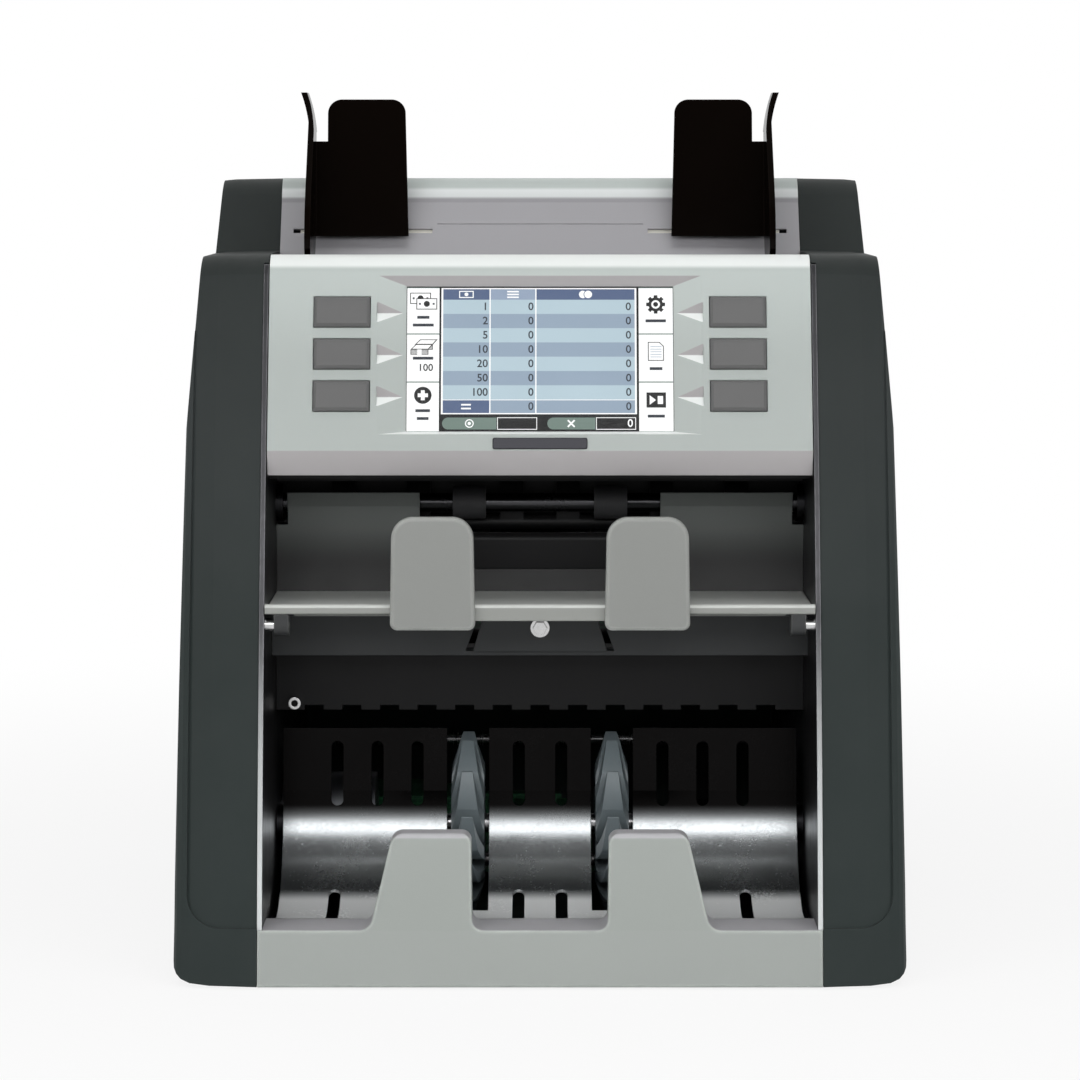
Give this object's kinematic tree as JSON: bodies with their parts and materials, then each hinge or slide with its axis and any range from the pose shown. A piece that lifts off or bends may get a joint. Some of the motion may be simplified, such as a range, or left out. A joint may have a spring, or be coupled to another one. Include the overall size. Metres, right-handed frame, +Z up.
{
  "type": "banknote counting machine",
  "caption": "Desktop banknote counter with a sloped feed hopper, leaning display panel with keys, hinged reject tray and bladed stacker wheels over a curved steel plate.",
  "frame": {"origin": "on the table, under the middle of the machine's bounding box", "axes": "+Z up, +X to the right seen from the front, front facing -Y"},
  "size_m": [0.297, 0.3, 0.361],
  "materials": {
    "cover_plastic": "satin, fine grain",
    "panel_plastic": "satin metallic grey",
    "hopper_plastic": "satin",
    "front_plastic": "satin",
    "tray_plastic": "satin",
    "key_plastic": "satin",
    "wheel_plastic": "satin",
    "black_plastic": "fine grain",
    "dark_plastic": "fine grain",
    "white_plastic": "moulded",
    "smoked_plastic": "clear, polished",
    "frame_steel": "zinc plated sheet",
    "plate_steel": "brushed along its width",
    "shaft_steel": "ground",
    "bright_steel": "plated",
    "rubber": "matt",
    "board": "solder mask",
    "screen_glass": "polished",
    "screen": "lit",
    "motor_metal": "satin"
  },
  "bodies": {
    "chassis": {"left_side_cover": "cover_plastic", "right_side_cover": "cover_plastic", "left_side_frame": "frame_steel", "right_side_frame": "frame_steel", "base_pan": "frame_steel", "rubber_feet": "rubber", "tie_bars": "shaft_steel", "front_cover": "front_plastic", "stacker_plate": "plate_steel", "hopper_cover": "hopper_plastic", "throat_guide": "dark_plastic", "rear_cover": "cover_plastic", "reject_back_guide": "dark_plastic", "exit_guide": "black_plastic", "reject_canopy": "black_plastic", "pocket_divider": "dark_plastic", "stacker_comb": "black_plastic", "stack_sensor": "bright_steel", "image_sensors": "black_plastic", "shaft_bearings": "shaft_steel", "retard_rollers": "rubber", "main_motor": "motor_metal", "stacker_motor": "motor_metal", "drive_belt": "rubber", "transport_belt": "rubber", "pickup_belt": "rubber", "power_supply": "board", "main_board": "board", "power_inlet": "black_plastic", "pivot_pins": "bright_steel", "housing_screws": "bright_steel"},
    "control_panel": {"panel_bezel": "panel_plastic", "display_window": "screen_glass", "display_module": "screen", "keypad_board": "board"},
    "reject_tray": {"reject_tray": "tray_plastic", "note_stops": "tray_plastic"},
    "left_guide": {"left_note_guide": "smoked_plastic", "left_rack": "white_plastic"},
    "right_guide": {"right_note_guide": "smoked_plastic", "right_rack": "white_plastic"},
    "guide_pinion": {"guide_pinion": "white_plastic"},
    "feed_rollers": {"feed_rollers": "rubber"},
    "pickup_rollers": {"pickup_rollers": "rubber"},
    "upper_transport": {"upper_transport_rollers": "rubber"},
    "lower_transport": {"lower_transport_rollers": "rubber"},
    "exit_rollers": {"exit_rollers": "rubber"},
    "motor_pulley": {"motor_pulley": "shaft_steel"},
    "stacker": {"stacker_shaft": "shaft_steel", "stacker_wheels": "wheel_plastic", "stacker_gear": "white_plastic"},
    "stacker_pinion": {"stacker_pinion": "white_plastic"},
    "diverter": {"diverter_gate": "black_plastic"},
    "power_switch": {"power_switch": "black_plastic"},
    "key_left_upper": {"key_left_upper": "key_plastic"},
    "key_left_middle": {"key_left_middle": "key_plastic"},
    "key_left_lower": {"key_left_lower": "key_plastic"},
    "key_right_upper": {"key_right_upper": "key_plastic"},
    "key_right_middle": {"key_right_middle": "key_plastic"},
    "key_right_lower": {"key_right_lower": "key_plastic"}
  },
  "joints": [
    {"name": "panel_hinge", "type": "hinge", "parent": "chassis", "child": "control_panel", "pos_m": [0, -0.07038, 0.28387], "axis": [-1, 0, 0], "range_deg": [0, 55]},
    {"name": "tray_tilt", "type": "hinge", "parent": "chassis", "child": "reject_tray", "pos_m": [0, -0.117, 0.1438], "axis": [1, 0, 0], "range_deg": [0, 30]},
    {"name": "left_guide_slide", "type": "slide", "parent": "chassis", "child": "left_guide", "axis": [1, 0, 0], "range_m": [-0.008, 0.026]},
    {"name": "right_guide_slide", "type": "slide", "parent": "chassis", "child": "right_guide", "axis": [1, 0, 0], "range_m": [-0.026, 0.008]},
    {"name": "guide_pinion_turn", "type": "hinge", "parent": "chassis", "child": "guide_pinion", "pos_m": [0, -0.00603, 0.29067], "axis": [0, -0.8339, 0.5519], "range_deg": [-166, 52]},
    {"name": "feed_spin", "type": "hinge", "parent": "chassis", "child": "feed_rollers", "pos_m": [0, -0.0185, 0.238], "axis": [1, 0, 0], "continuous": true},
    {"name": "pickup_spin", "type": "hinge", "parent": "chassis", "child": "pickup_rollers", "pos_m": [0, -0.02052, 0.26788], "axis": [1, 0, 0], "continuous": true},
    {"name": "upper_transport_spin", "type": "hinge", "parent": "chassis", "child": "upper_transport", "pos_m": [0, -0.0185, 0.16], "axis": [1, 0, 0], "continuous": true},
    {"name": "lower_transport_spin", "type": "hinge", "parent": "chassis", "child": "lower_transport", "pos_m": [0, -0.0185, 0.114], "axis": [1, 0, 0], "continuous": true},
    {"name": "exit_spin", "type": "hinge", "parent": "chassis", "child": "exit_rollers", "pos_m": [0, -0.0455, 0.187], "axis": [1, 0, 0], "continuous": true},
    {"name": "motor_spin", "type": "hinge", "parent": "chassis", "child": "motor_pulley", "pos_m": [0, 0.055, 0.15], "axis": [1, 0, 0], "continuous": true},
    {"name": "stacker_spin", "type": "hinge", "parent": "chassis", "child": "stacker", "pos_m": [0, -0.052, 0.05], "axis": [1, 0, 0], "continuous": true},
    {"name": "stacker_pinion_spin", "type": "hinge", "parent": "chassis", "child": "stacker_pinion", "pos_m": [0, -0.02388, 0.05], "axis": [1, 0, 0], "continuous": true},
    {"name": "diverter_swing", "type": "hinge", "parent": "chassis", "child": "diverter", "pos_m": [0, -0.038, 0.178], "axis": [-1, 0, 0], "range_deg": [0, 24], "stiffness_Nm_per_rad": 0.03, "springref_deg": -11.46},
    {"name": "power_rocker", "type": "hinge", "parent": "chassis", "child": "power_switch", "pos_m": [0.044, 0.14, 0.04], "axis": [1, 0, 0], "range_deg": [0, 14]},
    {"name": "key_left_upper_press", "type": "slide", "parent": "control_panel", "child": "key_left_upper", "axis": [0, 0.9542, -0.299], "range_m": [0, 0.0012], "stiffness_N_per_m": 400, "springref_m": -0.0006},
    {"name": "key_left_middle_press", "type": "slide", "parent": "control_panel", "child": "key_left_middle", "axis": [0, 0.9542, -0.299], "range_m": [0, 0.0012], "stiffness_N_per_m": 400, "springref_m": -0.0006},
    {"name": "key_left_lower_press", "type": "slide", "parent": "control_panel", "child": "key_left_lower", "axis": [0, 0.9542, -0.299], "range_m": [0, 0.0012], "stiffness_N_per_m": 400, "springref_m": -0.0006},
    {"name": "key_right_upper_press", "type": "slide", "parent": "control_panel", "child": "key_right_upper", "axis": [0, 0.9542, -0.299], "range_m": [0, 0.0012], "stiffness_N_per_m": 400, "springref_m": -0.0006},
    {"name": "key_right_middle_press", "type": "slide", "parent": "control_panel", "child": "key_right_middle", "axis": [0, 0.9542, -0.299], "range_m": [0, 0.0012], "stiffness_N_per_m": 400, "springref_m": -0.0006},
    {"name": "key_right_lower_press", "type": "slide", "parent": "control_panel", "child": "key_right_lower", "axis": [0, 0.9542, -0.299], "range_m": [0, 0.0012], "stiffness_N_per_m": 400, "springref_m": -0.0006}
  ],
  "couplings": [
    {"joint": "right_guide_slide", "follows": "left_guide_slide", "ratio": -1},
    {"joint": "guide_pinion_turn", "follows": "left_guide_slide", "rad_per_m": -111.11},
    {"joint": "pickup_spin", "follows": "feed_spin", "ratio": 1},
    {"joint": "upper_transport_spin", "follows": "feed_spin", "ratio": 1},
    {"joint": "lower_transport_spin", "follows": "feed_spin", "ratio": 1},
    {"joint": "exit_spin", "follows": "feed_spin", "ratio": 2.1429},
    {"joint": "motor_spin", "follows": "feed_spin", "ratio": 1.5},
    {"joint": "stacker_pinion_spin", "follows": "stacker_spin", "ratio": -2.5}
  ]
}
